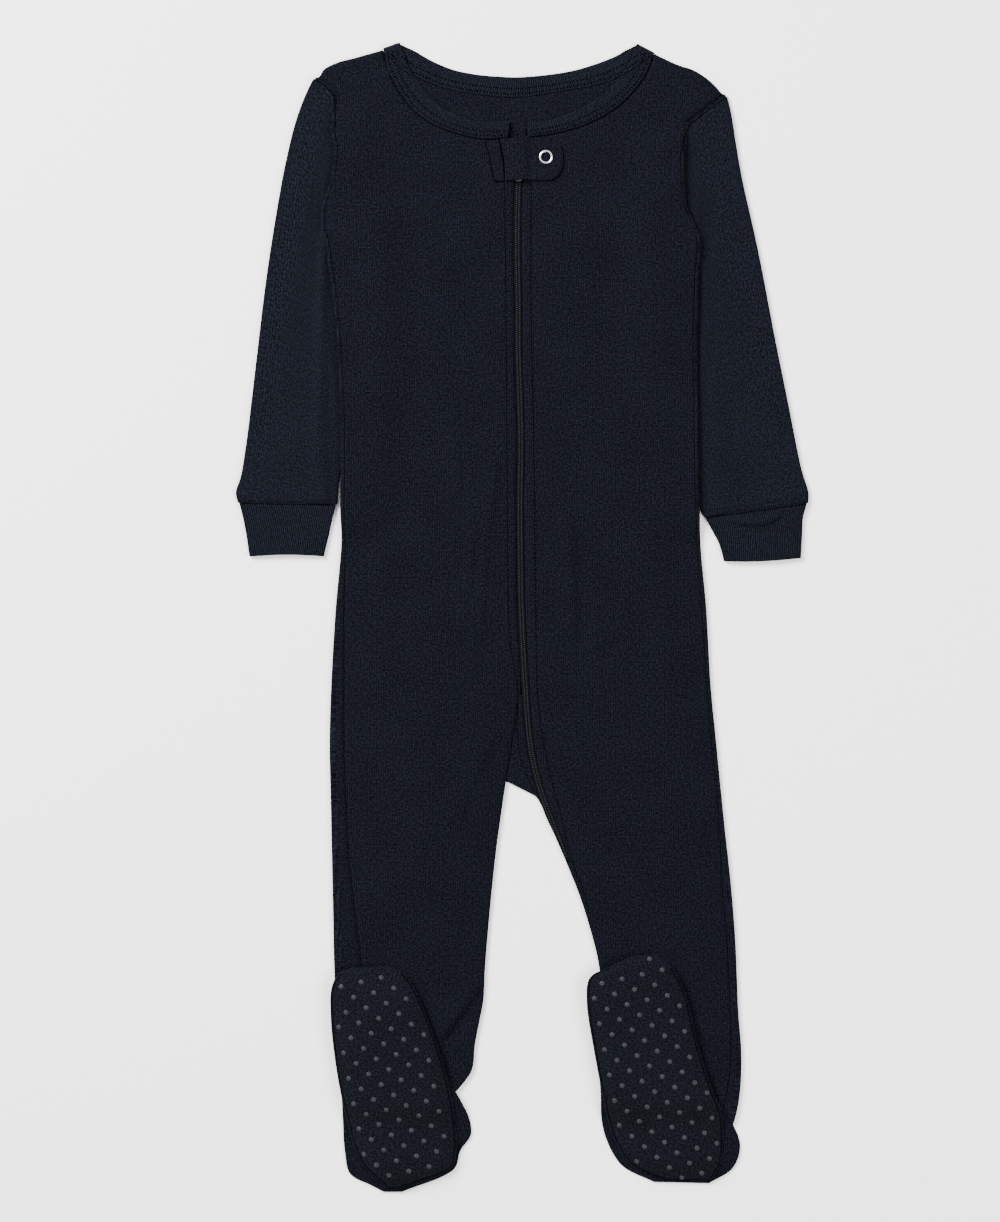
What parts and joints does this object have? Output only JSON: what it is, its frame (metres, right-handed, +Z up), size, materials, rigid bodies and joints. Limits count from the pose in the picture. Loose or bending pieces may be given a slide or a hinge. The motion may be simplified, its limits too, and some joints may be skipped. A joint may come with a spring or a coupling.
{
  "type": "onesie pajama",
  "caption": "Baby footed one-piece sleeper laid flat: long sleeves, ribbed neck and cuffs, front zip curving down one leg under a snapped guard, feet turned up.",
  "frame": {"origin": "on the surface it lies on, under the middle of its outline", "axes": "+Y along its length towards the neck, +X to the viewer's right (the wearer's left), +Z up from the surface"},
  "size_m": [0.3426, 0.6905, 0.0101],
  "materials": {
    "knit": "matte ribbed navy cotton knit",
    "rib": "matte navy rib",
    "sole": "navy knit with raised dark grey grip dots",
    "zip": "moulded nylon coil, slightly shiny",
    "metal": "bright metal"
  },
  "bodies": {
    "root": {"back_panel": "knit", "front_right": "knit", "front_left": "knit", "inner_leg_strip": "knit", "sleeve_right": "knit", "sleeve_left": "knit", "zip_guard": "knit", "placket_strip": "knit", "foot_right": "knit", "foot_left": "knit", "neckband": "rib", "cuff_right": "rib", "cuff_left": "rib", "sole_right": "sole", "sole_left": "sole", "zip_coil": "zip", "zip_slider": "metal", "zip_pull": "metal", "snap_ring": "metal"}
  },
  "joints": []
}
